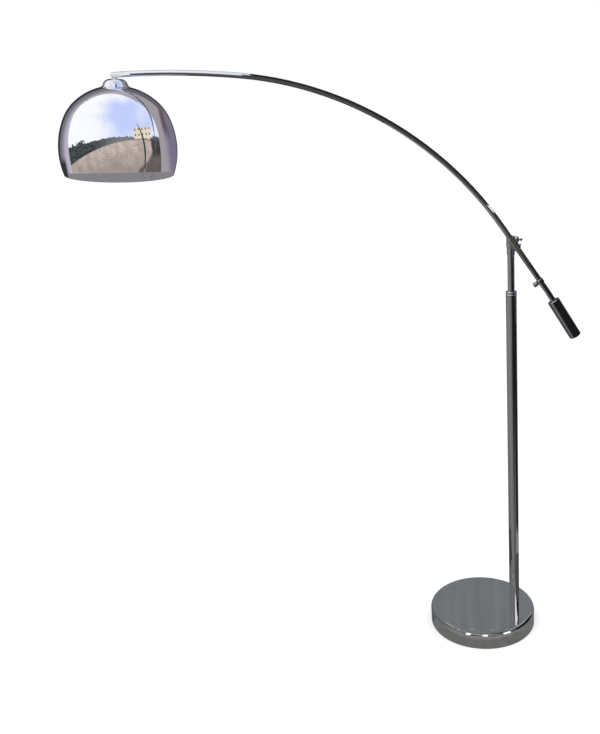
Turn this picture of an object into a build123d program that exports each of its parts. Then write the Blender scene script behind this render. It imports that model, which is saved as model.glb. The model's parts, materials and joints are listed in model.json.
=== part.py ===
"""Arc floor lamp: a weighted round base, a telescopic mast, a tilting clamp,
a curved balanced arm and a swivelling dome shade.

Millimetres. +Z is up, and the origin is the centre of the base's underside.
The arm lies in a plane parallel to XZ, with the shade towards -X.
"""
from build123d import *
import os
from math import atan2, cos, degrees, radians, sin, sqrt

# ---------------------------------------------------------------- driving dimensions
SHEET = 1.2                 # pressed steel sheet
RUN = 0.06                  # radial clearance of a running fit
GAP = 0.3                   # gap between faces that move past each other

BASE_D = 300.0
BASE_H = 51.0
BASE_EDGE_R = 10.0          # rounded top edge of the base
BASE_BEAD_R = 133.0         # fine ring pressed into the top of the base
PAD_R = 144.0
PAD_T = 2.0                 # felt under the base
PLATE_R = 147.5
PLATE_T = 1.5               # closing plate under the weight
WEIGHT_R = 140.0
WEIGHT_T = 26.0             # cast iron disc inside the base
BOLT_R = 6.0                # long bolt that holds the mast to the base
GLAND_Z = 17.0              # height of the cord's way into the base
GLAND_HOLE_R = 3.75

MAST_X = 94.0               # the mast stands off the base's centre, away from the shade
LOWER_R = 14.25
LOWER_WALL = 1.5
COLLAR_TOP = 1006.2         # top of the lower mast with its lock collar
COLLAR_R = 14.6
COLLAR_H = 11.0
COLLAR_THREAD_R = 11.5
UPPER_R = 9.0
UPPER_WALL = 1.2
UPPER_FOOT = 330.0          # lower end of the upper mast, inside the lower one

HEAD_FOOT = 1104.0
HEAD_WAIST = 1124.0
HEAD_TOP = 1152.0
HEAD_R = 11.25
HEAD_SLEEVE_R = 10.2
PIVOT_Z = 1142.0            # height of the arm's tilting axis
SPINDLE_R = 4.0             # the arm clamp's spindle through the mast head
SPINDLE_FACE = 10.8         # flat on each side of the head, from the mast's axis
KNOB_SCREW_R = 2.5
KNOB_R = 9.4
KNOB_BALL_R = 3.8           # ball at the end of the domed knob

ARM_Y = -21.2               # plane of the arm, in front of the mast
ARM_R = 7.0
ARM_WALL = 1.2
BEND_END = (73.8, 1179.8)   # X and Z where the arm's curve turns straight
TAIL_SLOPE = 57.3           # degrees below the horizontal
TAIL_STRAIGHT = 195.0       # length of the straight tail, which the clamp and stop ride on
TAIL_BEND_R = 660.0         # slight bend between the tail and the counterweight
TAIL_BEND = 2.6             # degrees
INNER_BEND_R = 938.0
INNER_BEND = 48.3           # degrees
OUTER_BEND_R = 2360.0
OUTER_BEND = 8.32           # degrees

CLAMP_START = 35.0          # these three are distances down the straight tail
CLAMP_SCREW = 62.0
STOP_CENTRE = 171.7
WEIGHT_START = 8.0          # these two are distances down the tube past its slight bend
TUBE_END = 75.0
CLAMP_LENGTH = 34.0
CLAMP_R = 9.2
LINER_R = 7.8               # outside of the nylon liner in the clamp
CLAMP_SCREW_R = 2.0
STOP_R = 8.8
STOP_LENGTH = 12.0
STOP_SCREW_R = 2.5
COUNTER_R = 15.6
COUNTER_LENGTH = 113.6
COUNTER_BOLT_R = 3.0

SHADE_TILT = 6.1            # degrees that the hanging shade leans at rest
BALL_R = 8.0
BALL_Z = 1613.5
BALL_FROM_TIP = 6.5
STUB_R = 4.5                # neck between the arm's tip and the ball
WIRE_R = 3.0                # wireway through the ball
SHADE_DROP = 176.0          # ball centre to the middle of the dome
SHADE_T = 1.0
SHADE_APEX = 164.9          # dome height above its middle
SHADE_RIM = -64.3           # rim below its middle
CROWN_R = 163.8             # the dome's outline is three tangent arcs
CROWN_ANGLE = 38.5          # angles are measured from the dome's axis
SHOULDER_R = 126.2
SHOULDER_ANGLE = 65.9
SKIRT_R = 198.7
CROWN_HOLE_R = 20.5         # the lamp holder goes through the dome's crown

FROM_BELOW = (Align.CENTER, Align.CENTER, Align.MIN)


# ---------------------------------------------------------------- helpers
def rod(r, z0, z1):
    """A solid cylinder on the Z axis."""
    return Pos(0, 0, z0) * Cylinder(r, z1 - z0, align=FROM_BELOW)


def tube(r_out, r_in, z0, z1):
    """A hollow cylinder on the Z axis."""
    return rod(r_out, z0, z1) - rod(r_in, z0 - 1, z1 + 1)


def taper(r_foot, r_top, z0, z1):
    """A solid cone on the Z axis."""
    return Pos(0, 0, z0) * Cone(r_foot, r_top, z1 - z0, align=FROM_BELOW)


def turned(*points):
    """A solid turned about the Z axis from the (radius, height) corners of its section."""
    return revolve(Plane.XZ * make_face(Polyline(*points, close=True)), Axis.Z)


def turned_shell(outer, inner):
    """A thin wall turned about the Z axis, between two outlines that start and end together."""
    first = Line(outer[0] @ 0, inner[0] @ 0)
    last = Line(outer[-1] @ 1, inner[-1] @ 1)
    return revolve(Plane.XZ * make_face(outer + inner + [first, last]), Axis.Z)


def hexagon(across_flats, z0, z1):
    """A six-sided bar on the Z axis."""
    outline = RegularPolygon(across_flats / 2, 6, major_radius=False)
    return extrude(Pos(0, 0, z0) * outline, amount=z1 - z0)


def round_edges(solid, radius, height):
    """Rounds the outermost circular edge of a turned solid at the given height."""
    rims = solid.edges().filter_by(GeomType.CIRCLE)
    rims = rims.filter_by_position(Axis.Z, height - 0.01, height + 0.01)
    return fillet(rims.sort_by(SortBy.RADIUS)[-1:], radius)


def frame_at(origin, z_dir, x_dir):
    """Where a piece drawn about the Z axis goes: its axis along z_dir from origin."""
    return Plane(origin=origin, x_dir=x_dir, z_dir=z_dir).location


# ---------------------------------------------------------------- derived places
BASE_R = BASE_D / 2
LOWER_BORE = LOWER_R - LOWER_WALL
UPPER_BORE = UPPER_R - UPPER_WALL
ARM_BORE = ARM_R - ARM_WALL
WEIGHT_FOOT = PAD_T + PLATE_T
WEIGHT_TOP = WEIGHT_FOOT + WEIGHT_T
LOWER_TOP = COLLAR_TOP - COLLAR_H
HEAD_FLOOR = HEAD_WAIST - 2     # the upper mast ends here, inside the head

TAIL_DIR = (cos(radians(TAIL_SLOPE)), 0, -sin(radians(TAIL_SLOPE)))
TAIL_SIDE = (sin(radians(TAIL_SLOPE)), 0, cos(radians(TAIL_SLOPE)))
END_SLOPE = TAIL_SLOPE + TAIL_BEND

AT_MAST = Pos(MAST_X, 0, 0)
AT_GLAND = frame_at((0, BASE_R, GLAND_Z), (0, 1, 0), (1, 0, 0))
AT_SPINDLE = frame_at((MAST_X, 0, PIVOT_Z), (0, 1, 0), (1, 0, 0))
AT_KNOB = frame_at((MAST_X, 0, PIVOT_Z), (1, 0, 0), (0, 1, 0))


def tail(distance):
    """The frame of a piece on the arm's straight tail: Z down the tail, X up and outwards."""
    origin = (
        BEND_END[0] + distance * TAIL_DIR[0],
        ARM_Y,
        BEND_END[1] + distance * TAIL_DIR[2],
    )
    return frame_at(origin, TAIL_DIR, TAIL_SIDE)


def tail_end(distance):
    """The frame of a piece on the tube past its slight bend, with the same axes as tail's."""
    slope = radians(TAIL_SLOPE)
    end = radians(END_SLOPE)
    straight = tail(TAIL_STRAIGHT).position
    along = (cos(end), 0, -sin(end))
    origin = (
        straight.X + TAIL_BEND_R * (sin(end) - sin(slope)) + distance * along[0],
        ARM_Y,
        straight.Z + TAIL_BEND_R * (cos(end) - cos(slope)) + distance * along[2],
    )
    return frame_at(origin, along, (sin(end), 0, cos(end)))


def arm_line():
    """The arm's centreline, from its tail end to its tip."""
    slope = radians(TAIL_SLOPE)
    end = radians(END_SLOPE)
    foot = tail_end(TUBE_END).position
    start = tail_end(0).position
    last = Line((foot.X, foot.Z), (start.X, start.Z))
    slight = JernArc(last @ 1, (-cos(end), sin(end)), TAIL_BEND_R, TAIL_BEND)
    straight = Line(slight @ 1, BEND_END)
    inner = JernArc(BEND_END, (-cos(slope), sin(slope)), INNER_BEND_R, INNER_BEND)
    outer = JernArc(inner @ 1, inner % 1, OUTER_BEND_R, OUTER_BEND)
    flat = Plane(origin=(0, ARM_Y, 0), x_dir=(1, 0, 0), z_dir=(0, -1, 0))
    return flat * Wire([last, slight, straight, inner, outer])


ARM_LINE = arm_line()
TIP = ARM_LINE @ 1
TIP_DIR = ARM_LINE % 1      # out of the tip
BALL = (TIP.X + BALL_FROM_TIP, ARM_Y, BALL_Z)
LEAN = radians(SHADE_TILT)
SHADE_AXIS = (sin(LEAN), 0, cos(LEAN))

# Pieces of the shade are drawn about the ball's centre, along the shade's own axis.
SHADE = frame_at(BALL, SHADE_AXIS, (cos(LEAN), 0, -sin(LEAN)))
DOME_MIDDLE = -SHADE_DROP
CROWN_BALL = Pos(0, 0, DOME_MIDDLE + SHADE_APEX - CROWN_R) * Sphere(CROWN_R)

nodes = {}


# ---------------------------------------------------------------- base
def base_cover():
    """The pressed cover: a thin dish, open below, with a fine ring pressed into its top."""
    foot = 1.0
    bead_depth = 0.7
    cover = round_edges(rod(BASE_R, foot, BASE_H), BASE_EDGE_R, BASE_H)
    inner_top = BASE_H - SHEET
    cover -= round_edges(rod(BASE_R - SHEET, 0, inner_top), BASE_EDGE_R - SHEET, inner_top)
    cover -= Pos(0, 0, BASE_H) * Torus(BASE_BEAD_R, bead_depth)
    cover -= AT_MAST * rod(BOLT_R + 0.2, inner_top - 1, BASE_H + 1)
    nodes["base_cover"] = cover - AT_GLAND * rod(6.0, -6, 6)


def base_inside():
    """The cast weight, the plate that closes the base, and the felt it stands on."""
    bolt_room = 16.5            # radius of the recess for the mast bolt's head
    seat = WEIGHT_FOOT + 12     # the bolt's washer bears here
    thread_r = 2.45
    weight = rod(WEIGHT_R, WEIGHT_FOOT, WEIGHT_TOP)
    weight -= AT_MAST * (rod(BOLT_R + 0.5, 0, BASE_H) + rod(bolt_room, 0, seat))
    plate = rod(PLATE_R, PAD_T, WEIGHT_FOOT) - AT_MAST * rod(bolt_room, 0, seat)

    screw = taper(4.9, thread_r, PAD_T, WEIGHT_FOOT) + rod(thread_r, WEIGHT_FOOT, WEIGHT_FOOT + 11)
    screw -= Pos(0, 0, PAD_T) * Box(6, 1.0, 1.6)
    spots = [Rot(0, 0, 60 + 120 * i) * Pos(105, 0, 0) for i in range(3)]
    for spot in spots:
        weight -= spot * rod(thread_r + 0.05, 0, WEIGHT_FOOT + 12)
        plate -= spot * taper(5.0, thread_r + 0.2, PAD_T, WEIGHT_FOOT)
    nodes["base_weight"] = weight
    nodes["base_plate"] = plate
    nodes["base_pad"] = rod(PAD_R, 0, PAD_T)
    nodes["plate_screws"] = Compound([spot * screw for spot in spots])

    washer_foot = seat - 2
    nodes["mast_washer"] = AT_MAST * tube(15.0, BOLT_R + 0.3, washer_foot, seat)
    bolt = hexagon(19, washer_foot - 7.5, washer_foot) + rod(BOLT_R, washer_foot, BASE_H + 26)
    nodes["mast_bolt"] = AT_MAST * bolt
    nodes["mast_spacer"] = AT_MAST * tube(16.0, BOLT_R + 0.5, WEIGHT_TOP, BASE_H - SHEET)
    nodes["mast_foot_plug"] = AT_MAST * tube(LOWER_BORE, BOLT_R, BASE_H, BASE_H + 32)


def cord_gland():
    """A rubber bush with a flange on each side of the cover's wall."""
    flange = 2.5
    neck_r = 5.8
    inner_end = -3.4
    gland = rod(9.0, 0, flange) + rod(neck_r, -SHEET, 0) + rod(8.0, inner_end, -SHEET)
    gland -= rod(GLAND_HOLE_R, inner_end - 1, flange + 1)
    wall = tube(BASE_R, BASE_R - SHEET, 0, BASE_H) - AT_GLAND * rod(neck_r + 0.2, -6, 6)
    nodes["cord_gland"] = AT_GLAND * gland - wall


# ---------------------------------------------------------------- mast
def lower_mast():
    """The fixed tube, with a threaded fitting and a guide bush at its top."""
    fitting_r = 10.5            # bore of the fitting, and outside of its bush
    fitting_top = COLLAR_TOP - 3
    nodes["lower_mast"] = AT_MAST * tube(LOWER_R, LOWER_BORE, BASE_H, LOWER_TOP)
    fitting = rod(LOWER_BORE, LOWER_TOP - 30, LOWER_TOP) + rod(COLLAR_THREAD_R, LOWER_TOP, fitting_top)
    fitting -= rod(fitting_r, LOWER_TOP - 31, COLLAR_TOP)
    nodes["mast_top_fitting"] = AT_MAST * fitting
    bush = tube(fitting_r, UPPER_R + RUN, LOWER_TOP - 26, fitting_top - 0.5)
    nodes["mast_bush"] = AT_MAST * bush


def lock_collar():
    """The ring nut that grips the upper mast, with a groove round it."""
    foot = LOWER_TOP + GAP
    groove_r = COLLAR_R - 0.8
    thread_r = COLLAR_THREAD_R + RUN
    hole_r = UPPER_R + GAP
    lip = COLLAR_TOP - 2.6
    nodes["lock_collar"] = AT_MAST * turned(
        (thread_r, foot), (COLLAR_R - 0.6, foot), (COLLAR_R, foot + 0.6),
        (COLLAR_R, foot + 3.0), (groove_r, foot + 3.8), (groove_r, foot + 6.0),
        (COLLAR_R, foot + 6.8), (COLLAR_R, COLLAR_TOP - 1.0), (COLLAR_R - 1.0, COLLAR_TOP),
        (hole_r, COLLAR_TOP), (hole_r, lip), (thread_r, lip),
    )


def upper_mast():
    """The sliding tube, with a guide ring at its foot and a groove for the head's grub screw."""
    groove = HEAD_FOOT + 9
    tube_r = UPPER_R - 0.4
    mast = tube(UPPER_R, UPPER_BORE, UPPER_FOOT, HEAD_FLOOR)
    mast -= tube(UPPER_R + 1, tube_r, groove - 1.5, groove + 1.5)
    nodes["upper_mast"] = AT_MAST * mast
    guide = tube(LOWER_BORE - RUN, UPPER_R, UPPER_FOOT, UPPER_FOOT + 20)
    nodes["upper_mast_guide"] = AT_MAST * guide


def mast_head():
    """The head that turns on the upper mast and carries the arm's spindle and its lock knob."""
    bore = UPPER_R + RUN
    socket_top = HEAD_FLOOR + GAP
    body = turned(
        (bore, HEAD_FOOT), (HEAD_SLEEVE_R - 0.4, HEAD_FOOT), (HEAD_SLEEVE_R, HEAD_FOOT + 0.4),
        (HEAD_SLEEVE_R, HEAD_WAIST - 1), (HEAD_R, HEAD_WAIST), (HEAD_R, HEAD_TOP - 1.5),
        (HEAD_R - 1.5, HEAD_TOP), (0, HEAD_TOP), (0, socket_top), (bore, socket_top),
    )
    face_r = 8.6                # flats for the washers
    flats = rod(face_r, -20, -SPINDLE_FACE + GAP) + rod(face_r, SPINDLE_FACE - GAP, 20)
    at_grub = frame_at((MAST_X, 0, HEAD_FOOT + 9), (0, 1, 0), (1, 0, 0))
    head = AT_MAST * body
    head -= AT_SPINDLE * (rod(SPINDLE_R + RUN, -20, 20) + flats)
    head -= AT_KNOB * rod(KNOB_SCREW_R + RUN, 0, 20)
    nodes["mast_head"] = head - at_grub * rod(2.0, 0, 20)
    grub = rod(1.2, UPPER_R - 0.3, bore) + rod(1.95, bore, HEAD_SLEEVE_R)
    nodes["head_grub_screw"] = at_grub * grub


def tilt_knob():
    """The domed knob with a ball at its end, whose screw presses on the arm's spindle."""
    start = HEAD_R + 0.5
    dome_end = 20.5
    ball_centre = 25.8
    shank = rod(KNOB_SCREW_R, SPINDLE_R + GAP, start)
    dome = round_edges(rod(KNOB_R, start, dome_end), 5.8, dome_end)
    dome = round_edges(dome, 0.6, start)
    end = rod(2.8, dome_end - 1, ball_centre) + Pos(0, 0, ball_centre) * Sphere(KNOB_BALL_R)
    nodes["tilt_knob"] = AT_KNOB * (shank + dome + end)


# ---------------------------------------------------------------- clamp
def arm_clamp():
    """The sleeve round the arm with its spindle through the head, held by a dome nut."""
    boss_r = 7.0
    spindle_end = 19.0
    washer_out = SPINDLE_FACE + 1.1
    spring_out = SPINDLE_FACE + 1.8
    at_screw = tail(CLAMP_SCREW) * Rot(0, 90, 0)
    screw_hole = at_screw * rod(CLAMP_SCREW_R + RUN, 0, 20)

    body = tail(CLAMP_START) * rod(CLAMP_R, 0, CLAMP_LENGTH)
    body += AT_SPINDLE * (rod(boss_r, ARM_Y, -washer_out) + rod(SPINDLE_R, -washer_out - 1, spindle_end))
    body -= tail(CLAMP_START) * rod(LINER_R, -5, CLAMP_LENGTH + 5)
    nodes["arm_clamp"] = body - screw_hole
    liner = tail(CLAMP_START) * tube(LINER_R, ARM_R + RUN, 0, CLAMP_LENGTH)
    nodes["clamp_liner"] = liner - screw_hole

    nodes["pivot_washer"] = AT_SPINDLE * tube(boss_r, SPINDLE_R + 0.05, -washer_out, -SPINDLE_FACE)
    nodes["pivot_spring_washer"] = AT_SPINDLE * tube(boss_r, SPINDLE_R + 0.05, SPINDLE_FACE, spring_out)
    nut_height = 5.0
    nut = hexagon(13, spring_out, spring_out + nut_height)
    nut += Pos(0, 0, spring_out + nut_height) * (Sphere(5.6) & rod(6, 0, 6))
    nut -= rod(SPINDLE_R + 0.02, spring_out - 1, spindle_end + 0.2)
    nodes["pivot_nut"] = AT_SPINDLE * nut


def clamp_screw():
    """The small thumb screw that grips the arm through the clamp's wall."""
    head_r = 3.5
    start = CLAMP_R + 0.3
    screw = rod(CLAMP_SCREW_R, ARM_R + GAP, start) + turned(
        (0, start), (head_r - 0.4, start), (head_r, start + 0.4),
        (head_r, start + 2.9), (head_r - 0.6, start + 3.5), (0, start + 3.5),
    )
    nodes["clamp_screw"] = tail(CLAMP_SCREW) * Rot(0, 90, 0) * screw


# ---------------------------------------------------------------- arm
def arm_tube():
    """The curved tube, its end plug and the ball that the shade hangs from."""
    section = Plane(origin=ARM_LINE @ 0, z_dir=ARM_LINE % 0) * (Circle(ARM_R) - Circle(ARM_BORE))
    at_ball = frame_at(BALL, (0, 0, 1), (1, 0, 0))
    neck = TIP.Z - BALL_Z
    neck_hole = at_ball * rod(STUB_R, 0, neck)
    nodes["arm_tube"] = sweep(section, path=ARM_LINE) - neck_hole

    plug_in = -18.0
    plug_out = 2.0
    plug = turned(
        (0, plug_in), (ARM_BORE, plug_in), (ARM_BORE, 0), (ARM_R, 0),
        (ARM_R, plug_out - 1.2), (ARM_R - 1.2, plug_out), (0, plug_out),
    )
    nodes["tip_plug"] = frame_at(TIP, TIP_DIR, (0, 1, 0)) * plug - neck_hole
    nodes["ball_stud"] = at_ball * (Sphere(BALL_R) + rod(STUB_R, 0, neck) - rod(WIRE_R, -20, neck - 2))


def counterweight():
    """The turned weight over the tail's end, bolted to an insert inside the tube."""
    foot = WEIGHT_START + COUNTER_LENGTH
    rim_in = WEIGHT_START + 1.6         # the upper face is slightly sunk inside its rim
    counterbore = foot - 8
    weight = turned(
        (0, rim_in), (COUNTER_R - 2.4, rim_in), (COUNTER_R - 2.0, WEIGHT_START),
        (COUNTER_R - 0.6, WEIGHT_START), (COUNTER_R, WEIGHT_START + 0.6), (COUNTER_R, foot), (0, foot),
    )
    weight = round_edges(weight, 5.0, foot)
    weight -= rod(ARM_R, WEIGHT_START - 1, TUBE_END)
    weight -= rod(COUNTER_BOLT_R + 0.2, TUBE_END - 1, foot + 1) + rod(5.6, counterbore, foot + 1)
    nodes["counterweight"] = tail_end(0) * weight
    insert = tube(ARM_BORE, COUNTER_BOLT_R, TUBE_END - 24, TUBE_END)
    nodes["tail_insert"] = tail_end(0) * insert
    bolt = rod(COUNTER_BOLT_R, TUBE_END - 14, counterbore) + rod(5.0, counterbore, foot - 2)
    bolt -= hexagon(5, foot - 5, foot)
    nodes["counterweight_bolt"] = tail_end(0) * bolt


def stop_collar():
    """The ring that limits the arm's slide through the clamp, with its thumb screw."""
    half = STOP_LENGTH / 2
    at_screw = tail(STOP_CENTRE) * Rot(0, -90, 0)
    ring = turned(
        (ARM_R + RUN, -half), (STOP_R - 0.5, -half), (STOP_R, -half + 0.5),
        (STOP_R, half - 0.5), (STOP_R - 0.5, half), (ARM_R + RUN, half),
    )
    nodes["stop_collar"] = tail(STOP_CENTRE) * ring - at_screw * rod(STOP_SCREW_R + RUN, 0, 20)
    start = STOP_R + 0.4
    end = STOP_R + 11.4
    head_r = 6.5
    screw = rod(STOP_SCREW_R, ARM_R + GAP, start + 0.1) + turned(
        (0, start), (head_r - 0.7, start), (head_r, start + 0.7),
        (head_r, end - 1.0), (head_r - 1.0, end), (0, end),
    )
    nodes["stop_screw"] = at_screw * screw


# ---------------------------------------------------------------- shade
CUP_R = 9.3                 # outside of the ring that screws into the ball's cup
CAP_TOP = 4.5               # top of the shade cap, above the ball's centre
HOLDER_R = 19.5             # threaded neck of the lamp holder
HOLDER_TOP = -10.5
FLANGE_FOOT = -12.2         # the holder's flange rests on the dome's crown
RING_TOP = -15.4            # the ring below clamps the crown from inside


def dome_outline(inset):
    """The dome's outline from its axis to its rim, as tangent arcs inset from the outside."""
    crown = (0, SHADE_APEX - CROWN_R)
    step = CROWN_R - SHOULDER_R
    a = radians(CROWN_ANGLE)
    shoulder = (crown[0] + step * sin(a), crown[1] + step * cos(a))
    step = SHOULDER_R - SKIRT_R
    a = radians(SHOULDER_ANGLE)
    skirt = (shoulder[0] + step * sin(a), shoulder[1] + step * cos(a))
    skirt_r = SKIRT_R - inset
    rim_x = skirt[0] + sqrt(skirt_r ** 2 - (SHADE_RIM - skirt[1]) ** 2)
    skirt_start = (skirt[0] + skirt_r * sin(a), skirt[1] + skirt_r * cos(a))
    skirt_mid = (skirt[0] + skirt_r, skirt[1])
    return [
        CenterArc(crown, CROWN_R - inset, 90, -CROWN_ANGLE),
        CenterArc(shoulder, SHOULDER_R - inset, 90 - CROWN_ANGLE, CROWN_ANGLE - SHOULDER_ANGLE),
        ThreePointArc(skirt_start, skirt_mid, (rim_x, SHADE_RIM)),
    ]


def shade():
    """The spun dome with a hole for the lamp holder in its crown."""
    dome = Pos(0, 0, DOME_MIDDLE) * turned_shell(dome_outline(0), dome_outline(SHADE_T))
    nodes["shade"] = SHADE * (dome - rod(CROWN_HOLE_R, DOME_MIDDLE + SHADE_APEX - 20, 0))


def ball_joint():
    """The nylon seat round the ball, in a cup closed by a threaded ring."""
    plate_foot = CAP_TOP - SHADE_T
    seat_foot = -5.0
    stem_r = 5.0
    cup_r = 13.0
    inside = seat_foot - 0.2
    seat = tube(CUP_R - 0.1, 6.0, seat_foot, 0) - Sphere(BALL_R + RUN)
    nodes["ball_seat"] = SHADE * seat
    ring = tube(CUP_R + 1.7, WIRE_R + 1, CAP_TOP, CAP_TOP + 1.0) + tube(CUP_R, WIRE_R + 1, GAP, CAP_TOP)
    nodes["socket_ring"] = SHADE * (ring - Sphere(BALL_R + RUN))
    cup = turned(
        (0, HOLDER_TOP), (cup_r - 2.5, HOLDER_TOP), (cup_r, HOLDER_TOP + 2.5),
        (cup_r, plate_foot), (CUP_R, plate_foot), (CUP_R, inside), (0, inside),
    )
    cup += rod(stem_r, HOLDER_TOP - 10.5, HOLDER_TOP + 0.5)
    cup -= Sphere(BALL_R + 0.4) + rod(WIRE_R, HOLDER_TOP - 12, 0)
    nodes["socket_cup"] = SHADE * cup
    nodes["stem_nut"] = SHADE * (hexagon(14, HOLDER_TOP - 8, HOLDER_TOP - 3) - rod(stem_r + 0.05, -20, -10))


def shade_cap():
    """The thin pressed cap that covers the joint and stands on the dome."""
    plate_foot = CAP_TOP - SHADE_T
    hole_r = CUP_R + 0.05
    outer = [
        Line((hole_r, CAP_TOP), (15.0, CAP_TOP)),
        ThreePointArc((15.0, CAP_TOP), (25.6, 0.9), (31.4, -7.0)),
        Line((31.4, -7.0), (34.6, -13.6)),
        Line((34.6, -13.6), (37.6, -14.7)),
    ]
    inner = [
        Line((hole_r, plate_foot), (14.9, plate_foot)),
        ThreePointArc((14.9, plate_foot), (24.9, 0.1), (30.5, -7.5)),
        Line((30.5, -7.5), (33.8, -14.3)),
        Line((33.8, -14.3), (37.4, -15.5)),
    ]
    nodes["shade_cap"] = SHADE * (turned_shell(outer, inner) - CROWN_BALL)


def lamp_holder():
    """The holder: a flanged cap on the crown, a ring from inside, and the sleeve with its contacts."""
    flange_r = 24.5
    cap_foot = -34.0
    cap_bore = 17.2
    block_r = 14.6
    block_top = -21.6
    block_foot = -29.5
    screw_x = 9.5
    cap = turned(
        (5.05, HOLDER_TOP), (flange_r, HOLDER_TOP), (flange_r, FLANGE_FOOT), (HOLDER_R, FLANGE_FOOT),
        (HOLDER_R, cap_foot), (cap_bore, cap_foot), (cap_bore, HOLDER_TOP - 3), (5.05, HOLDER_TOP - 3),
    )
    under_flange = tube(flange_r + 0.1, HOLDER_R, FLANGE_FOOT, FLANGE_FOOT + 5)
    nodes["holder_cap"] = SHADE * (cap - (CROWN_BALL & under_flange))
    nodes["shade_ring"] = SHADE * tube(27.0, HOLDER_R + 0.1, RING_TOP - 6.1, RING_TOP)
    nodes["holder_sleeve"] = SHADE * tube(cap_bore, block_r, -62.0, block_top)

    block = rod(block_r, block_foot, block_top)
    screw = rod(1.95, block_foot + 1, block_top) + rod(3.2, block_top, block_top + 2.0)
    screw -= Pos(0, 0, block_top + 2.0) * Box(7, 0.8, 1.4)
    spots = [Pos(screw_x * side, 0, 0) for side in (-1, 1)]
    for spot in spots:
        block -= spot * rod(2.0, block_foot - 1, block_top + 1)
    nodes["contact_block"] = SHADE * block
    nodes["terminal_screws"] = SHADE * Compound([spot * screw for spot in spots])
    nodes["centre_contact"] = SHADE * rod(3.0, block_foot - 2.5, block_foot)
    nodes["screw_shell"] = SHADE * tube(14.0, 13.4, -54.0, block_foot)


# ---------------------------------------------------------------- bulb
def bulb_outline(inset):
    """The glass from its neck to its lowest point: a concave throat tangent to a round globe."""
    neck_r = 12.2
    throat_z = -60.0
    globe_z = -106.0
    globe_r = 30.0
    rise = throat_z - globe_z
    throat_r = (rise ** 2 + neck_r ** 2 - globe_r ** 2) / (2 * (globe_r - neck_r))
    turn = degrees(atan2(rise, neck_r + throat_r))
    throat = CenterArc((neck_r + throat_r, throat_z), throat_r + inset, 180, turn)
    globe = CenterArc((0, globe_z), globe_r - inset, turn, -90 - turn)
    return [Line((neck_r - inset, throat_z + 7), throat @ 0), throat, globe]


def bulb():
    """A round opal bulb with a 27 mm screw cap."""
    cap_r = 13.1
    cap_top = -34.0
    cap_foot = -58.0
    wall = 0.8
    nodes["bulb_contact"] = SHADE * rod(4.5, cap_top, cap_top + 1.8)
    cap = rod(cap_r, cap_foot, cap_top) - rod(cap_r - wall, cap_foot - 1, cap_top - 1.5)
    nodes["bulb_cap"] = SHADE * cap
    nodes["bulb_glass"] = SHADE * turned_shell(bulb_outline(0), bulb_outline(1.0))


for make in (
    base_cover, base_inside, cord_gland, lower_mast, lock_collar, upper_mast, mast_head, tilt_knob,
    arm_clamp, clamp_screw, arm_tube, counterweight, stop_collar, shade, ball_joint, shade_cap,
    lamp_holder, bulb,
):
    make()

os.makedirs("parts", exist_ok=True)
for name, shape in nodes.items():
    export_step(shape, os.path.join("parts", name + ".step"))
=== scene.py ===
import json
from math import pi, radians

import bmesh
import bpy
from mathutils import Matrix, Vector


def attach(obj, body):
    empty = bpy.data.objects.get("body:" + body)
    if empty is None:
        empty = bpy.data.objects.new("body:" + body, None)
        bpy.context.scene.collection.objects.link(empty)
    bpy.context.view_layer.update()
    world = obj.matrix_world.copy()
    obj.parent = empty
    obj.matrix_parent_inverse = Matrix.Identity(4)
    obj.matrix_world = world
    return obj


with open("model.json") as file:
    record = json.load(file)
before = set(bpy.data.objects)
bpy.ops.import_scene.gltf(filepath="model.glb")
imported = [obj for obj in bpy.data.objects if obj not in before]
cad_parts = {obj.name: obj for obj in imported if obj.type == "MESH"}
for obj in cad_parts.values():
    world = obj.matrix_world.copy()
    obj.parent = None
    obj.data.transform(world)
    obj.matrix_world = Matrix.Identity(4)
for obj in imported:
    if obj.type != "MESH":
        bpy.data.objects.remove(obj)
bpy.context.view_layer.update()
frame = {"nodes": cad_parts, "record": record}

NODES = frame["nodes"]

# ---------------------------------------------------------------- driving values, in metres and degrees
CAMERA_PLACE = (0.0206, -2.361, 1.6324)
CAMERA_YAW = 12.14                  # turned to the left of straight ahead
CAMERA_PITCH = 18.84                # below the horizon
CAMERA_ROLL = -5.16
LENS = 44.46                        # in millimetres, as the sensor's width
SENSOR_WIDTH = 36.0

BALL = (-0.90348, -0.0212, 1.6135)  # the middle of the shade's ball joint
SHADE_LEAN = 6.1
RIM_DROP = 0.2403                   # from the ball's middle down to the shade's rim
RIM_R = 0.1449
RIM_ROLL = 0.0015                   # the radius of the rolled bead
RIM_GAP = 0.0004                    # from the rim's outside in to the bead

KNURL_DEPTH = 0.0003
KNURL_SUNK = 0.0001                 # how far the grooves lie under the knob's own surface
TILT_KNOB = (0.094, 0, 1.142)
CLAMP_SCREW = (0.1073, -0.0212, 1.1276)
STOP_SCREW = (0.1666, -0.0212, 1.0353)
TAIL_UNDER = (-0.8415, 0, -0.5402)  # square to the arm's tail, downwards
TAIL_OVER = [-v for v in TAIL_UNDER]

FLOOR_SIZE = 30.0
FLOOR_GLOW = 0.32                   # lifts the floor to white where nothing shades it
WORLD_LIGHT = (0.8, 0.8, 0.8)
DRUM_R = 60.0
GROUND_R = 59.0
CARD_FRONT = -0.27                  # the cards' planes before the lamp, at its left and at its right
CARD_LEFT = -0.45
CARD_RIGHT = 0.62
MAST_CARD_TOP = 1.12                # where the arm's front card starts
UP = (0, 0, 1)
DOWN = (0, 0, -1)
BACK = (0, 1, 0)

# the shade's middle, the way from there to the camera, and the ways across and up as the camera sees them
DOME_MIDDLE = (-0.9222, -0.0212, 1.4385)
TO_VIEWER = (Vector(CAMERA_PLACE) - Vector(DOME_MIDDLE)).normalized()
VIEW_ACROSS = Vector((0, 0, 1)).cross(TO_VIEWER).normalized()
VIEW_UP = TO_VIEWER.cross(VIEW_ACROSS)

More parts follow.
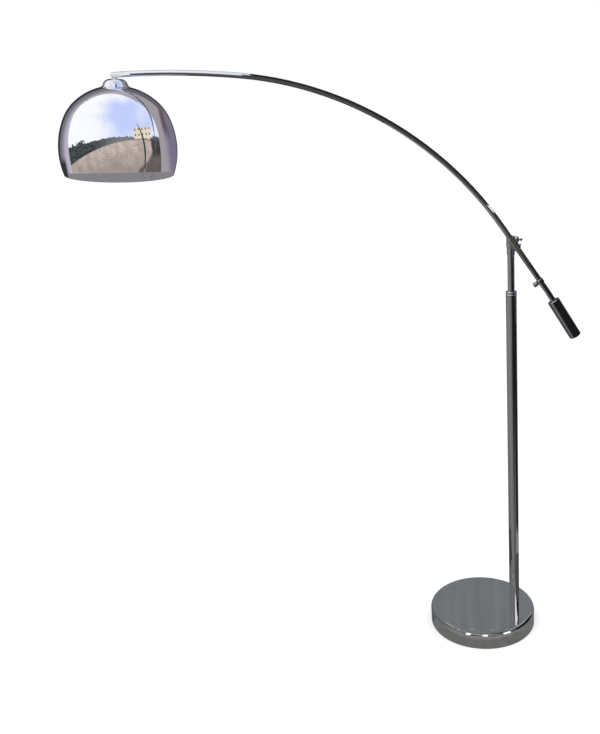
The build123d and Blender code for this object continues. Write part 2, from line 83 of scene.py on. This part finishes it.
# ---------------------------------------------------------------- colours
CHROME = (0.84, 0.845, 0.86)
SPUN_CHROME = (0.92, 0.925, 0.94)
WHITE = (1.0, 1.0, 1.0)

CLOUD = (1.05, 1.06, 1.08)
CLEAR_SKY = (0.50, 0.62, 1.06)
FIELD_RIDGE = (0.72, 0.61, 0.55)
FIELD_FURROW = (0.38, 0.31, 0.28)
NEAR_FIELD_RIDGE = (0.50, 0.42, 0.39)
NEAR_FIELD_FURROW = (0.27, 0.23, 0.22)
LEAF_SHADE = (0.012, 0.020, 0.024)
LEAF_LIGHT = (0.10, 0.12, 0.12)
FAR_HAZE = (0.36, 0.37, 0.40)
HOUSE_WALL = (0.84, 0.76, 0.60)
HOUSE_WINDOW = (0.20, 0.15, 0.10)
EDGE_TREES = (0.03, 0.03, 0.04)
FIELD_CORNER = (0.05, 0.045, 0.045)

LILAC = (0.53, 0.49, 0.60)
DIM_LILAC = (0.19, 0.18, 0.21)
WARM_GREY = (0.38, 0.355, 0.39)
DIM_VIOLET = (0.20, 0.18, 0.27)
BROWN = (0.13, 0.085, 0.095)
SLATE = (0.125, 0.13, 0.145)
SILL_GREY = (0.25, 0.242, 0.258)
PAINTED_OUTLINE_DARK = (0.03, 0.035, 0.042)
PAINTED_UNDERSIDE_DARK = (0.05, 0.05, 0.054)

NEAR_BLACK = (0.016, 0.016, 0.019)
CHARCOAL = (0.08, 0.08, 0.085)
PALE_GREY = (0.30, 0.295, 0.295)
# painted highlight: cards of this tone only show as bright spots in nearby chrome and light nothing
PAINTED_HIGHLIGHT = (1.3, 1.3, 1.3)
GLINT = (2.0, 2.0, 2.0)


# ---------------------------------------------------------------- shader sums
class Wire:
    """An output of a node tree that can be used in sums."""

    def __init__(self, tree, output=None):
        self.tree = tree
        self.output = output

    def node(self, kind, settings=None, inputs=None, out=0):
        """Adds a node: its settings first, then the values or links of its sockets."""
        made = self.tree.nodes.new(kind)
        for name, value in (settings or {}).items():
            setattr(made, name, value)
        for name, value in (inputs or {}).items():
            if isinstance(value, Wire):
                self.tree.links.new(value.output, made.inputs[name])
            else:
                made.inputs[name].default_value = value
        return Wire(self.tree, made.outputs[out])

    def maths(self, operation, *values):
        return self.node("ShaderNodeMath", {"operation": operation}, dict(enumerate(values)))

    def __add__(self, other):
        return self.maths("ADD", self, other)

    __radd__ = __add__

    def __sub__(self, other):
        return self.maths("SUBTRACT", self, other)

    def __rsub__(self, other):
        return self.maths("SUBTRACT", other, self)

    def __mul__(self, other):
        return self.maths("MULTIPLY", self, other)

    __rmul__ = __mul__

    def __truediv__(self, other):
        return self.maths("DIVIDE", self, other)

    def __rtruediv__(self, other):
        return self.maths("DIVIDE", other, self)

    def larger(self, other):
        return self.maths("MAXIMUM", self, other)

    def smaller(self, other):
        return self.maths("MINIMUM", self, other)

    def over(self, limit):
        """1 above the limit and 0 below it."""
        return self.maths("GREATER_THAN", self, limit)

    def under(self, limit):
        """1 below the limit and 0 above it."""
        return self.maths("LESS_THAN", self, limit)

    def sine(self):
        return self.maths("SINE", self)

    def vector(self, operation, *values, out=0):
        """Vector sums, from this vector."""
        inputs = dict(enumerate((self, *(tuple(v) for v in values))))
        return self.node("ShaderNodeVectorMath", {"operation": operation}, inputs, out)

    def steps(self, low, high):
        """0 below low and 1 above high, with a smooth rise between them."""
        settings = {"interpolation_type": "SMOOTHSTEP"}
        return self.node("ShaderNodeMapRange", settings, {"Value": self, 1: low, 2: high})

    def mask(self, soft=0.006):
        """1 where this is above 0, with a soft line round it."""
        return self.steps(-soft, soft)

    def mixed(self, first, second):
        """The colour first where this is 0 and second where it is 1."""
        first, second = [(*c, 1) if isinstance(c, tuple) else c for c in (first, second)]
        return self.node("ShaderNodeMix", {"data_type": "RGBA"}, {0: self, 6: first, 7: second}, out=2)

    def height(self):
        """The third part of a vector."""
        return self.node("ShaderNodeSeparateXYZ", inputs={0: self}, out=2)

    def noise(self, scale, detail=3.0, stretch=(1, 1, 1)):
        """Soft random values from 0 to 1 over a vector, stretched along each axis."""
        spread = self.node("ShaderNodeMapping", inputs={"Vector": self, "Scale": stretch})
        inputs = {"Vector": spread, "Scale": scale, "Detail": detail}
        return self.node("ShaderNodeTexNoise", inputs=inputs)

    def bump(self, depth, strength):
        """Surface normals for these heights."""
        return self.node("ShaderNodeBump", inputs={"Height": self, "Distance": depth, "Strength": strength})

    def place(self):
        """Object coordinates."""
        return self.node("ShaderNodeTexCoord", out=3)

    def ray(self, *names):
        """What is known of the ray that meets the surface, by name."""
        outputs = self.node("ShaderNodeLightPath").output.node.outputs
        return [Wire(self.tree, outputs[name]) for name in names]

    def seen_plainly(self):
        """1 for what is seen straight on, in a mirror or through glass."""
        straight, mirrored, through = self.ray("Is Camera Ray", "Is Glossy Ray", "Is Transmission Ray")
        return straight.larger(mirrored).larger(through)


def new_material(name):
    """A material, the wire that its nodes start from, and its shader."""
    made = bpy.data.materials.new(name)
    made.use_nodes = True
    return made, Wire(made.node_tree), made.node_tree.nodes["Principled BSDF"]


def feed(wire, shader, **sockets):
    """Sets or links a shader's sockets by name, with _ for a space."""
    for name, value in sockets.items():
        socket = shader.inputs[name.replace("_", " ")]
        if isinstance(value, Wire):
            wire.tree.links.new(value.output, socket)
        else:
            socket.default_value = value


# ---------------------------------------------------------------- finishes
def plated(name, colour, rough, handled):
    """Bright plate: a mirror with faint handling marks, haze and specks of dust."""
    made, wire, shader = new_material(name)
    place = wire.place()
    marks = place.noise(23.0, detail=6.0).steps(0.48, 0.75)
    haze = place.noise(5.0, detail=2.0)
    dust = place.noise(2600.0, detail=1.0).steps(0.72, 0.80)
    warm = tuple(c * s for c, s in zip(colour, (0.975, 0.965, 0.95)))
    feed(
        wire, shader, Metallic=1.0,
        Base_Color=(dust * 0.18).mixed(haze.mixed(colour, warm), (0.5, 0.5, 0.49)),
        Roughness=rough + marks * handled * 0.5 + haze * handled * 0.25 + dust * 0.08,
    )
    return made


def brushed(name, colour, rough):
    """Plain turned or rolled metal with fine lines."""
    made, wire, shader = new_material(name)
    place = wire.place()
    lines = place.noise(700.0, detail=3.0, stretch=(1, 1, 0.02))
    haze = place.noise(30.0, detail=3.0)
    dark = tuple(c * 0.72 for c in colour)
    feed(
        wire, shader, Metallic=1.0, Base_Color=(lines * 0.5 + haze * 0.3).mixed(colour, dark),
        Roughness=rough + lines * 0.12 + haze * 0.08, Normal=lines.bump(0.00003, 0.5),
    )
    return made


def moulded(name, colour, rough, grain=1200.0, depth=0.00002):
    """Moulded plastic, nylon, rubber or ceramic with a fine grain."""
    made, wire, shader = new_material(name)
    place = wire.place()
    fine = place.noise(grain, detail=2.0)
    cloud = place.noise(40.0, detail=3.0)
    light = tuple(min(1.0, c * 1.25 + 0.01) for c in colour)
    feed(
        wire, shader, Base_Color=cloud.mixed(colour, light),
        Roughness=rough + fine * 0.12 + cloud * 0.06, Normal=fine.bump(depth, 0.6),
    )
    return made


def felted(name, colour):
    """Pressed felt: matted fibres of two tones."""
    made, wire, shader = new_material(name)
    place = wire.place()
    along = place.noise(1500.0, detail=4.0, stretch=(1, 0.25, 1))
    across = place.noise(1500.0, detail=4.0, stretch=(0.25, 1, 1))
    mat = along * 0.5 + across * 0.5
    light = tuple(c * 2.2 + 0.01 for c in colour)
    feed(
        wire, shader, Base_Color=mat.steps(0.35, 0.7).mixed(colour, light),
        Roughness=0.9 + mat * 0.08, Normal=mat.bump(0.0003, 0.8), Sheen_Weight=0.3,
    )
    return made


def cast(name, colour):
    """Sand-cast iron: pitted and dull."""
    made, wire, shader = new_material(name)
    place = wire.place()
    pits = place.noise(600.0, detail=5.0)
    patches = place.noise(25.0, detail=3.0)
    dark = tuple(c * 0.6 for c in colour)
    feed(
        wire, shader, Metallic=0.6, Base_Color=patches.mixed(colour, dark),
        Roughness=0.6 + pits * 0.25, Normal=pits.bump(0.0003, 0.7),
    )
    return made


def opal(name):
    """Opal glass: milk white, smooth and glossy."""
    made, wire, shader = new_material(name)
    milk = wire.place().noise(60.0, detail=3.0)
    feed(
        wire, shader, Base_Color=milk.mixed((0.93, 0.92, 0.89), (0.97, 0.965, 0.945)),
        Roughness=0.16 + milk * 0.06, IOR=1.5, Coat_Weight=0.3,
    )
    return made


SKINS = {
    "chrome": plated("chrome_plate", CHROME, rough=0.03, handled=0.05),
    "shade_metal": plated("plated_spun_shade", SPUN_CHROME, rough=0.02, handled=0.03),
    "zinc_steel": brushed("zinc_plated_steel", (0.62, 0.63, 0.64), rough=0.32),
    "cast_iron": cast("cast_iron_weight", (0.16, 0.155, 0.15)),
    "felt": felted("black_felt", (0.02, 0.02, 0.022)),
    "nylon": moulded("white_nylon", (0.82, 0.82, 0.79), rough=0.4),
    "black_plastic": moulded("black_holder_plastic", (0.02, 0.02, 0.021), rough=0.38),
    "rubber": moulded("black_rubber", (0.018, 0.018, 0.018), rough=0.65, grain=500.0, depth=0.00004),
    "brass": brushed("brass_sheet", (0.72, 0.55, 0.27), rough=0.22),
    "ceramic": moulded("white_ceramic", (0.85, 0.84, 0.80), rough=0.2, grain=300.0),
    "bulb_metal": brushed("bulb_cap_metal", (0.7, 0.71, 0.73), rough=0.25),
    "opal_glass": opal("opal_bulb_glass"),
}


def dress(node, skin):
    """Puts a finish on a CAD node through its material slots."""
    slots = NODES[node].data.materials
    for i in range(len(slots)):
        slots[i] = skin
    if not slots:
        slots.append(skin)


for entry in frame["record"]["subparts"]:
    dress(entry["node"], SKINS[entry["material_slot"]])


# ---------------------------------------------------------------- pieces that the CAD leaves plain
def added_piece(name, shape, body, slot):
    """A finished piece from a bmesh, riding on a CAD body."""
    mesh = bpy.data.meshes.new(name)
    bmesh.ops.recalc_face_normals(shape, faces=shape.faces)
    shape.to_mesh(mesh)
    shape.free()
    piece = bpy.data.objects.new(name, mesh)
    bpy.context.scene.collection.objects.link(piece)
    piece.data.materials.append(SKINS[slot])
    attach(piece, body)
    return piece


def knurled_band(name, body, origin, axis, radius, start, end, ridges):
    """A band of fine ridges round a knob, between two distances along its axis."""
    shape = bmesh.new()
    groove_r = radius - KNURL_SUNK
    corners = bmesh.ops.create_circle(shape, cap_ends=True, segments=2 * ridges, radius=groove_r)["verts"]
    bmesh.ops.scale(shape, verts=corners[::2], vec=[1 + KNURL_DEPTH / radius] * 3)
    top = bmesh.ops.extrude_face_region(shape, geom=shape.faces[:])["geom"]
    top = [part for part in top if isinstance(part, bmesh.types.BMVert)]
    bmesh.ops.translate(shape, verts=top, vec=(0, 0, end - start))
    place = Matrix.Translation(Vector(origin) + Vector(axis) * start)
    turn = Vector(axis).to_track_quat("Z", "Y").to_matrix().to_4x4()
    bmesh.ops.transform(shape, matrix=place @ turn, verts=shape.verts)
    added_piece(name, shape, body, "chrome")


def rolled_rim():
    """The shade's lower edge, rolled inwards."""
    shape = bmesh.new()
    ring = bmesh.ops.create_circle(shape, segments=16, radius=RIM_ROLL)["verts"]
    bmesh.ops.rotate(shape, verts=ring, matrix=Matrix.Rotation(pi / 2, 3, "X"))
    bmesh.ops.translate(shape, verts=ring, vec=(RIM_R - RIM_ROLL - RIM_GAP, 0, RIM_ROLL - RIM_DROP))
    bmesh.ops.spin(
        shape, geom=shape.verts[:] + shape.edges[:], cent=(0, 0, 0), axis=(0, 0, 1), angle=2 * pi,
        steps=180, use_merge=True,
    )
    lean = Matrix.Rotation(radians(SHADE_LEAN), 4, "Y")
    bmesh.ops.transform(shape, matrix=Matrix.Translation(BALL) @ lean, verts=shape.verts)
    piece = added_piece("shade_rolled_rim", shape, "shade", "shade_metal")
    for face in piece.data.polygons:
        face.use_smooth = True


rolled_rim()
knurled_band(
    "tilt_knob_knurls", "tilt_knob", TILT_KNOB, (1, 0, 0), radius=0.0094, start=0.0126, end=0.0146, ridges=48,
)
knurled_band(
    "stop_screw_knurls", "stop_screw", STOP_SCREW, TAIL_UNDER, radius=0.0065, start=0.0106, end=0.0188,
    ridges=30,
)
knurled_band(
    "clamp_screw_knurls", "clamp_screw", CLAMP_SCREW, TAIL_OVER, radius=0.0035, start=0.0100, end=0.0124,
    ridges=20,
)


# ---------------------------------------------------------------- world and floor
def stage_piece(name, shape):
    """A piece of the stage from a bmesh."""
    mesh = bpy.data.meshes.new(name)
    shape.to_mesh(mesh)
    shape.free()
    piece = bpy.data.objects.new(name, mesh)
    bpy.context.scene.collection.objects.link(piece)
    return piece


def show_world():
    """White where it is seen straight on, mirrored or through glass, and soft light elsewhere."""
    world = bpy.data.worlds.new("surroundings")
    bpy.context.scene.world = world
    world.use_nodes = True
    wire = Wire(world.node_tree)
    tone = wire.seen_plainly().mixed(WORLD_LIGHT, WHITE)
    feed(wire, world.node_tree.nodes["Background"], Color=tone, Strength=1.0)


def show_floor():
    """A pale floor that keeps the lamp's shadow and is white where it is open."""
    grid = bmesh.new()
    bmesh.ops.create_grid(grid, x_segments=1, y_segments=1, size=FLOOR_SIZE)
    floor = stage_piece("floor", grid)
    made, wire, shader = new_material("pale_floor")
    feed(wire, shader, Base_Color=(0.9, 0.9, 0.9, 1), Roughness=1.0, Specular_IOR_Level=0.0)
    feed(wire, shader, Emission_Color=(*WHITE, 1), Emission_Strength=wire.seen_plainly() * FLOOR_GLOW)
    floor.data.materials.append(made)


# ---------------------------------------------------------------- what the polished metal mirrors
def reflection_card(name, shape, paint):
    """A card that only polished metal sees."""
    card = stage_piece(name, shape)
    card.visible_camera = False
    card.visible_diffuse = False
    card.visible_transmission = False
    card.visible_shadow = False
    card.data.materials.append(paint)


# In the painted surroundings, across and up run from -1 to 1 over the shade as the camera sees it, and
# facet is the way that the shade's skin faces where it mirrors the paint.
# Since the paint is laid out from the camera's place, on the shade it is a painted reflection that holds only
# from there.
def painted_sky(facet, across, up):
    """White cloud, clear and blue high on the right and a little above the horizon."""
    drift = facet.noise(2.6, detail=4.0) - 0.5
    beside = (across - 0.22) * 1.95
    over = (up - 0.45) * 2.9
    clear = (beside * beside + over * over + drift * 2.6).steps(1.8, -0.1)
    horizon = up.steps(0.35, 0.12) * across.steps(-0.55, 0.0)
    return (clear * 0.85 + horizon * 0.3).mixed(CLOUD, CLEAR_SKY)


def painted_leaves(facet, across):
    """Dark leaves that grow hazy towards the right, where they are farther off."""
    leaves = facet.noise(45.0, detail=4.0).steps(0.3, 0.7).mixed(LEAF_SHADE, LEAF_LIGHT)
    return (across.steps(-0.45, 0.05) * 0.5).mixed(leaves, FAR_HAZE)


def painted_house(across, up):
    """A pale wall with rows of windows."""
    columns = ((across - 0.29) * 105).sine()
    rows = ((up - 0.045) * 90).sine()
    return (columns.smaller(rows) - 0.35).mask(0.25).mixed(HOUSE_WALL, HOUSE_WINDOW)


def painted_field(up, grain, patches):
    """Ploughed soil, darker near the lamp."""
    far = (grain * 0.7 + patches * 0.3).steps(0.41, 0.59).mixed(FIELD_RIDGE, FIELD_FURROW)
    near = patches.mixed(NEAR_FIELD_RIDGE, NEAR_FIELD_FURROW)
    return up.steps(-0.02, -0.32).mixed(far, near)


def painted_view(facet, across, up):
    """The sky, a house behind trees, and a field with dark trees at its right edge."""
    grain = facet.noise(75.0, detail=6.0, stretch=(1, 1, 2))
    patches = facet.noise(9.0, detail=4.0)
    house = painted_house(across, up)
    walls = (across - 0.285).mask() * (0.55 - across).mask() * (0.20 - up + patches * 0.05).mask()
    view = walls.mixed(painted_sky(facet, across, up), house)

    bent = across + 0.1
    tree_tops = 0.143 - bent * bent * 0.22 + facet.noise(16.0, detail=6.0) * 0.07 - 0.035
    tall_trees = across.steps(-0.45, -0.62) * (facet.noise(22.0, detail=4.0) * 0.19 - 0.035)
    view = (tree_tops + tall_trees - up).mask().mixed(view, painted_leaves(facet, across))
    view = (walls * (up - 0.066 - grain * 0.03).mask()).mixed(view, house)

    bent = across - 0.17
    field_top = 0.076 - bent * bent * 0.225 + facet.noise(25.0) * 0.012 - 0.006
    view = (field_top - up).mask().mixed(view, painted_field(up, grain, patches))

    edge_trees = (across - 0.60 + patches * 0.10).mask(0.015) * (0.17 - up - patches * 0.16).mask(0.02)
    edge_trees = edge_trees * (up + 0.10 + across * 0.1).mask(0.06)
    view = (edge_trees * 0.92).mixed(view, EDGE_TREES)
    corner = (0.75 * across - 0.60 - up + patches * 0.12).mask(0.04)
    return (corner * (0.35 + grain * 0.8)).mixed(view, FIELD_CORNER)


def painted_frame(across, up, sill):
    """What stands round the view: lilac on the left and grey on the right, darker towards the shade's
    outline, with a painted dark edge at it.
    """
    from_middle = across * across + up * up
    left = from_middle.steps(0.72, 0.88).mixed(LILAC, DIM_LILAC)
    right = across.steps(0.74, 0.88).mixed(WARM_GREY, DIM_VIOLET)
    streak = (across - 0.80 + up * 0.12).mask(0.02) * (0.89 - across - up * 0.16).mask(0.02)
    right = (streak * up.steps(0.0, 0.2) * 0.9).mixed(right, BROWN)
    right = (from_middle.steps(0.80, 0.86) * up.steps(0.25, 0.6)).mixed(right, SLATE)
    tone = across.steps(0.05, 0.40).mixed(left, right)
    tone = sill.mixed(SILL_GREY, tone)
    outline = (from_middle + across.steps(0.0, 0.9) * -0.04).steps(0.90, 0.94)
    outline = outline.larger((-0.885 - across).mask(0.02) * up.steps(0.0, -0.12))
    return outline.mixed(tone, PAINTED_OUTLINE_DARK)


def painted_surroundings():
    """A bright view through a round opening, in a grey and lilac frame."""
    made, wire, shader = new_material("painted_surroundings")
    made.cycles.emission_sampling = "NONE"
    way = wire.place().vector("SUBTRACT", DOME_MIDDLE).vector("NORMALIZE")
    facet = way.vector("ADD", TO_VIEWER).vector("NORMALIZE")
    across = facet.vector("DOT_PRODUCT", VIEW_ACROSS, out=1)
    up = facet.vector("DOT_PRODUCT", VIEW_UP, out=1)

    level = up - 0.05
    above = level.larger(0.0) / 0.81
    below = level.smaller(0.0) / 1.3
    side = (across + 0.06) / 0.75
    opening = (1 - side * side - above * above - below * below).mask(0.012)
    sill = (up + 0.315 + across * 0.09).mask(0.004)
    tone = (opening * sill).mixed(painted_frame(across, up, sill), painted_view(facet, across, up))
    # a painted dark reflection for skin that faces down, such as the arm's lower half
    tone = (up.steps(-0.46, -0.50) * across.steps(0.40, 0.30)).mixed(tone, PAINTED_UNDERSIDE_DARK)
    feed(wire, shader, Base_Color=(0, 0, 0, 1), Specular_IOR_Level=0.0, Roughness=1.0)
    feed(wire, shader, Emission_Color=tone, Emission_Strength=1.0)
    return made


def show_surroundings():
    """The painted surroundings as a wide drum, with their ground inside it."""
    paint = painted_surroundings()
    drum = bmesh.new()
    bmesh.ops.create_uvsphere(drum, u_segments=48, v_segments=24, radius=DRUM_R)
    bmesh.ops.translate(drum, verts=drum.verts, vec=DOME_MIDDLE)
    reflection_card("surroundings_card", drum, paint)
    ground = bmesh.new()
    bmesh.ops.create_circle(ground, cap_ends=True, segments=64, radius=GROUND_R)
    bmesh.ops.translate(ground, verts=ground.verts, vec=(0, 0, 0.0005))
    reflection_card("ground_card", ground, paint)


def near_paint(name, low, high, steps, reach, rings, twice):
    """Paint that polished metal mirrors only from the card's front and from within its reach.

    Its tone goes from low to high between two heights or, with rings, between two distances from the
    base's middle. With twice, it shows only where one mirrored surface is seen in another.
    """
    made, wire, _ = new_material(name)
    made.cycles.emission_sampling = "NONE"
    distance, mirrors = wire.ray("Ray Length", "Glossy Depth")
    shown = distance.under(reach) * (1 - wire.node("ShaderNodeNewGeometry", out=6))
    if twice:
        shown = shown * mirrors.over(1.5)
    place = wire.place()
    measure = place.vector("LENGTH", out=1) if rings else place.height()
    tone = measure.steps(*steps).mixed(low, high)
    streaks = place.noise(30.0, detail=4.0, stretch=(1, 0.15, 0.1)) * 0.5
    glow = wire.node("ShaderNodeEmission", inputs={"Color": streaks.mixed(tone, (0.0, 0.0, 0.0))})
    clear = wire.node("ShaderNodeBsdfTransparent")
    mixed = wire.node("ShaderNodeMixShader", inputs={0: shown, 1: clear, 2: glow})
    wire.tree.links.new(mixed.output, made.node_tree.nodes["Material Output"].inputs["Surface"])
    return made


def near_card(name, line, sweep, facing, reach, low, high=None, steps=(0.1, 0.8), rings=False, twice=False):
    """A card swept from a line of points, seen only by the metal near its front, where it is a painted
    reflection.
    """
    shape = bmesh.new()
    corners = [shape.verts.new(point) for point in line]
    edges = [shape.edges.new(pair) for pair in zip(corners, corners[1:])]
    swept = bmesh.ops.extrude_edge_only(shape, edges=edges)["geom"]
    moved = [part for part in swept if isinstance(part, bmesh.types.BMVert)]
    bmesh.ops.translate(shape, verts=moved, vec=sweep)
    shape.normal_update()
    turned = [face for face in shape.faces if face.normal.dot(Vector(facing)) < 0]
    bmesh.ops.reverse_faces(shape, faces=turned)
    reflection_card(name, shape, near_paint(name + "_paint", low, high or low, steps, reach, rings, twice))


def upright_card(name, x_span, y, z_span, reach, low, high=None, steps=(0.1, 0.8)):
    """A card that stands before the lamp and faces it."""
    bottom, top = z_span
    line = [(x, y, bottom) for x in x_span]
    near_card(name, line, (0, 0, top - bottom), BACK, reach, low, high, steps)


def level_card(name, x_span, y_span, z, facing, reach, tone):
    """A level card that faces up or down."""
    near, far = y_span
    line = [(x, near, z) for x in x_span]
    near_card(name, line, (0, far - near, 0), facing, reach, tone)


def show_mast_cards():
    """Cards round the mast and the arm's tail, from the floor up to the arm's front card, which paint dark
    and grey reflections on their chrome.
    """
    foot = 0.0015
    heights = (foot, MAST_CARD_TOP)
    fade = (0.05, 0.65)
    foot_shade = (0.16, 0.15, 0.16)
    foot_grey = (0.27, 0.265, 0.27)
    upright_card("mast_front_card", (0.16, CARD_RIGHT), CARD_FRONT, heights, 0.75,
                 foot_shade, NEAR_BLACK, fade)
    upright_card("mast_facing_card", (0.10, 0.16), CARD_FRONT, heights, 0.75,
                 foot_shade, (0.06, 0.06, 0.06), fade)
    upright_card("mast_left_card", (CARD_LEFT, -0.03), CARD_FRONT, heights, 0.75, foot_grey, PALE_GREY)
    upright_card("mast_middle_card", (-0.03, 0.10), CARD_FRONT, heights, 0.75,
                 foot_grey, (0.20, 0.195, 0.195))
    side = [(CARD_RIGHT, y, foot) for y in (CARD_FRONT, 0.35)]
    near_card("right_card", side, (0, 0, 1.5), (-1, 0, 0), 0.8, NEAR_BLACK)
    side = [(CARD_LEFT, y, foot) for y in (CARD_FRONT, 0.35)]
    near_card("left_card", side, (0, 0, MAST_CARD_TOP - foot), (1, 0, 0), 0.75,
              (0.20, 0.205, 0.21), PALE_GREY)


def show_arm_cards():
    """Cards before and over the arm, and at the shade's cap, the clamp and the knob, which paint the arm's
    dark reflections, the cap's bright one, the clamp's dark one and the knob's highlight.
    """
    upright_card("arm_front_card", (-0.40, CARD_RIGHT), CARD_FRONT, (MAST_CARD_TOP, 1.80), 0.55, CHARCOAL)
    line = [(-0.30, CARD_FRONT, 1.82), (CARD_RIGHT, CARD_FRONT, 1.25)]
    near_card("arm_top_card", line, (0, 0.6, 0), (-1, 0, -1), 0.5, NEAR_BLACK)
    line = [(-0.55, -0.20, 1.72), (-0.28, -0.20, 1.66)]
    near_card("arm_bend_card", line, (0, 0.3, 0), DOWN, 0.22, NEAR_BLACK)
    line = [(-0.58, -0.12, 1.48), (-0.30, -0.12, 1.42)]
    near_card("arm_bend_front_card", line, (0, 0, 0.24), BACK, 0.2, CHARCOAL)
    # a painted bright reflection on the shade's cap
    upright_card("cap_card", (-1.04, -0.85), -0.12, (1.58, 1.72), 0.13, (1.2, 1.22, 1.35))
    # a painted dark olive reflection on the clamp
    upright_card("clamp_card", (0.04, 0.13), -0.075, (1.04, 1.14), 0.066, (0.10, 0.095, 0.06))
    line = [(-0.88, -0.08, 1.642), (-0.40, -0.08, 1.570)]
    near_card("arm_tip_front_card", line, (0, 0, -0.09), BACK, 0.09, (0.10, 0.10, 0.105))
    # a painted highlight on the tilt knob
    level_card("knob_highlight_card", (0.10, 0.155), (-0.16, 0.08), 1.27, DOWN, 0.14, PAINTED_HIGHLIGHT)


def show_base_cards():
    """Cards behind, over and on the ground about the base, which paint its grey and dark reflections, and
    those that paint a light line, a dark line and glints on its rim.

    Those on the ground lie at heights of their own, so that no two share a plane.
    """
    line = [(x, 0.45, 0.02) for x in (-0.6, 0.5)]
    near_card("base_back_card", line, (0, 0, 0.75), (0, -1, 0), 0.95, (0.255, 0.27, 0.285))
    line = [(x, -0.5, 0.0007) for x in (-0.5, 0.5)]
    # darker in a ring close round the base: a painted contact shadow that the base's side mirrors
    near_card("base_ground_card", line, (0, 0.9, 0), UP, 0.12, (0.22, 0.228, 0.215), (0.37, 0.378, 0.36),
              steps=(0.186, 0.206), rings=True)
    level_card("front_ground_card", (-0.45, 0.45), (-0.45, -0.13), 0.0006, UP, 0.4, (0.24, 0.235, 0.24))
    level_card("right_ground_card", (0.20, 0.60), (-0.45, 0.30), 0.00065, UP, 0.45, (0.10, 0.095, 0.105))
    level_card("base_over_card", (CARD_LEFT, CARD_RIGHT), (CARD_FRONT, 0.45), 0.8, DOWN, 1.1,
               (0.24, 0.25, 0.265))
    level_card("base_left_card", (-0.20, -0.153), (-0.03, 0.08), 0.0009, UP, 0.075, (0.14, 0.145, 0.14))
    # a painted highlight: a light streak on the mast's foot, where it is mirrored in the base's top
    line = [(0.117, -0.085, 0.17), (0.15, -0.266, 0.17)]
    near_card("foot_highlight_card", line, (0.10, 0.045, 0), DOWN, 0.27, PAINTED_HIGHLIGHT, twice=True)
    # a painted dark line and a painted light line along the rim's reflection
    upright_card("rim_dark_card", (-0.35, 0.35), -0.268, (0.001, 0.049), 0.16, NEAR_BLACK)
    upright_card("rim_light_card", (-0.35, 0.35), -0.268, (0.049, 0.179), 0.16, (0.42, 0.42, 0.44))
    # painted glints on the rim
    glints = (
        ((-0.104, -0.228), (-0.078, -0.246)),
        ((0.002, -0.259), (0.037, -0.259)),
        ((0.147, -0.230), (0.185, -0.190)),
    )
    for i, ends in enumerate(glints):
        line = [(*end, 0.012) for end in ends]
        near_card("base_glint_%d" % (i + 1), line, (0, 0, 0.12), BACK, 0.15, GLINT)


# ---------------------------------------------------------------- light and camera
def area_light(name, place, target, size, power):
    """A round lamp that the metal doesn't mirror, aimed at a point."""
    lamp = bpy.data.lights.new(name, "AREA")
    lamp.shape = "DISK"
    lamp.size = size
    lamp.energy = power
    holder = bpy.data.objects.new(name, lamp)
    holder.location = place
    away = Vector(place) - Vector(target)
    holder.rotation_euler = away.to_track_quat("Z", "Y").to_euler()
    holder.visible_glossy = False
    bpy.context.scene.collection.objects.link(holder)


def place_camera():
    """The camera before the lamp, a little above it and looking down."""
    lens = bpy.data.cameras.new("camera")
    lens.lens = LENS
    lens.sensor_width = SENSOR_WIDTH
    lens.clip_end = 100.0
    camera = bpy.data.objects.new("camera", lens)
    turn = (
        Matrix.Rotation(radians(CAMERA_YAW), 4, "Z")
        @ Matrix.Rotation(radians(90 - CAMERA_PITCH), 4, "X")
        @ Matrix.Rotation(radians(CAMERA_ROLL), 4, "Z")
    )
    camera.matrix_world = Matrix.Translation(CAMERA_PLACE) @ turn
    bpy.context.scene.collection.objects.link(camera)
    bpy.context.scene.camera = camera


show_world()
show_floor()
show_surroundings()
show_mast_cards()
show_arm_cards()
show_base_cards()
area_light("key", (-1.8, -2.5, 3.2), (-0.3, 0, 0.8), size=2.2, power=35.0)
area_light("fill", (2.2, -1.0, 2.4), (-0.2, 0, 0.8), size=2.0, power=15.0)
place_camera()
bpy.context.scene.view_settings.view_transform = "Standard"
